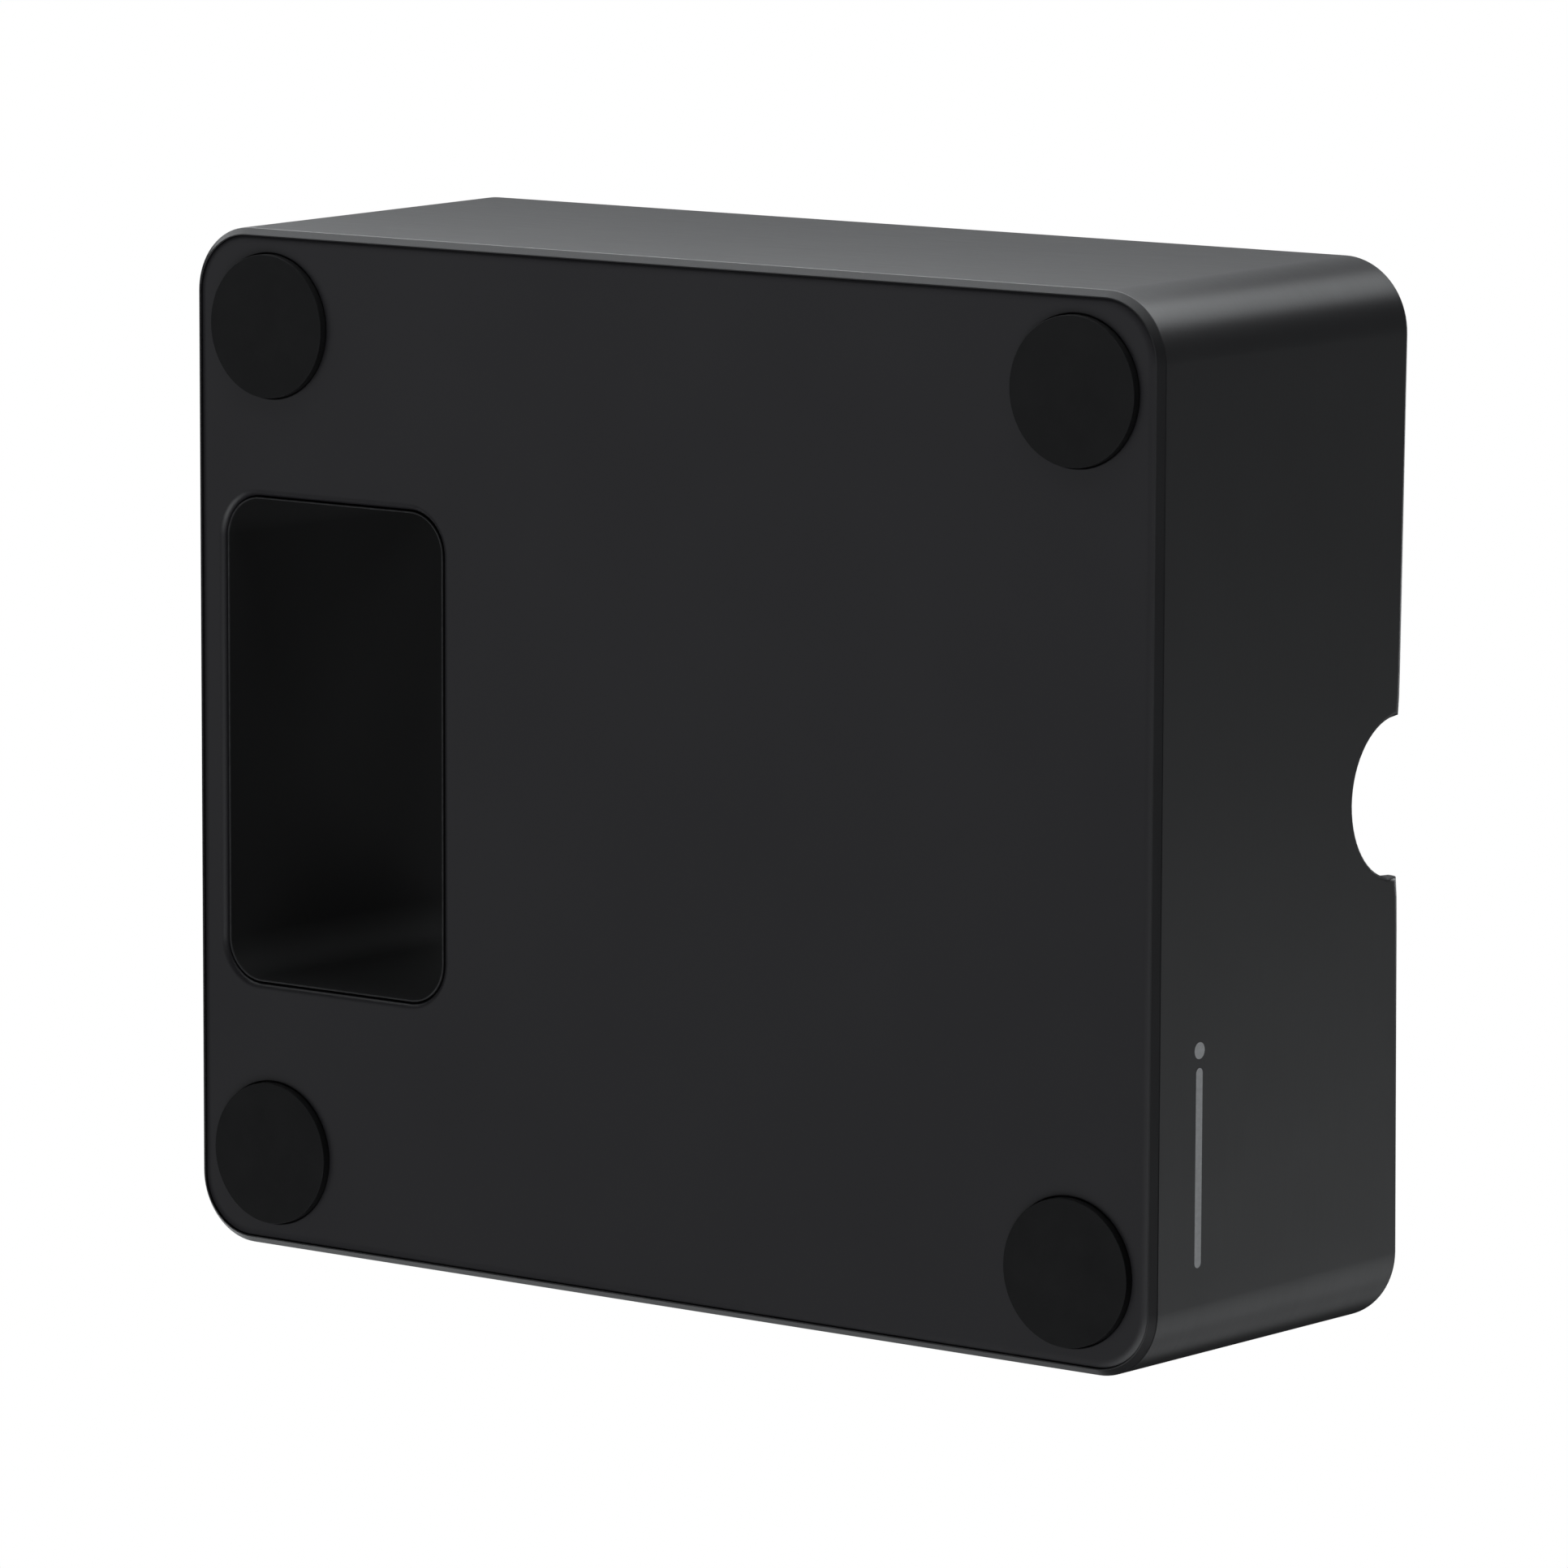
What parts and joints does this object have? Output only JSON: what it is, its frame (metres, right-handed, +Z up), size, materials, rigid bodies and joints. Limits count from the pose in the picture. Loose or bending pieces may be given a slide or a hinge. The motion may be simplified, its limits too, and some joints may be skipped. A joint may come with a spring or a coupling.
{
  "type": "espresso tamping station",
  "caption": "Drafted box on rubber feet with a round-bottomed notch in one wall for a portafilter neck, a deck of round tool wells and a rectangular well open through the base.",
  "frame": {"origin": "centre of the footprint, on the plane that the feet rest on", "axes": "+Z up, +X towards the wall with the portafilter notch, +Y along that wall"},
  "size_m": [0.208, 0.181, 0.0718],
  "materials": {
    "satin_black_housing": "satin, with a fine horizontal grain",
    "satin_black_base": "fine matte",
    "satin_black_deck": "fine matte",
    "black_sleeve": "smooth satin",
    "black_silicone": "matte silicone",
    "zinc_screw": "zinc plated",
    "foot_rubber": "matte rubber",
    "adhesive_tape": "matte adhesive film"
  },
  "bodies": {
    "station": {"shell": "satin_black_housing", "base_plate": "satin_black_base", "deck": "satin_black_deck", "base_screws": "zinc_screw", "foot_front_left": "foot_rubber", "foot_front_right": "foot_rubber", "foot_rear_left": "foot_rubber", "foot_rear_right": "foot_rubber", "tape_front_left": "adhesive_tape", "tape_front_right": "adhesive_tape", "tape_rear_left": "adhesive_tape", "tape_rear_right": "adhesive_tape"},
    "cradle": {"portafilter_cradle": "black_silicone"},
    "tamper_insert": {"tamper_liner": "black_silicone"},
    "leveller_insert": {"leveller_liner": "black_silicone"},
    "sleeve": {"well_sleeve": "black_sleeve"}
  },
  "joints": [
    {"name": "cradle_lift", "type": "slide", "parent": "station", "child": "cradle", "axis": [0, 0, 1], "range_m": [0, 0.03]},
    {"name": "tamper_liner_lift", "type": "slide", "parent": "station", "child": "tamper_insert", "axis": [0, 0, 1], "range_m": [0, 0.05]},
    {"name": "leveller_liner_lift", "type": "slide", "parent": "station", "child": "leveller_insert", "axis": [0, 0, 1], "range_m": [0, 0.05]},
    {"name": "sleeve_lift", "type": "slide", "parent": "station", "child": "sleeve", "axis": [0, 0, 1], "range_m": [0, 0.09]}
  ]
}
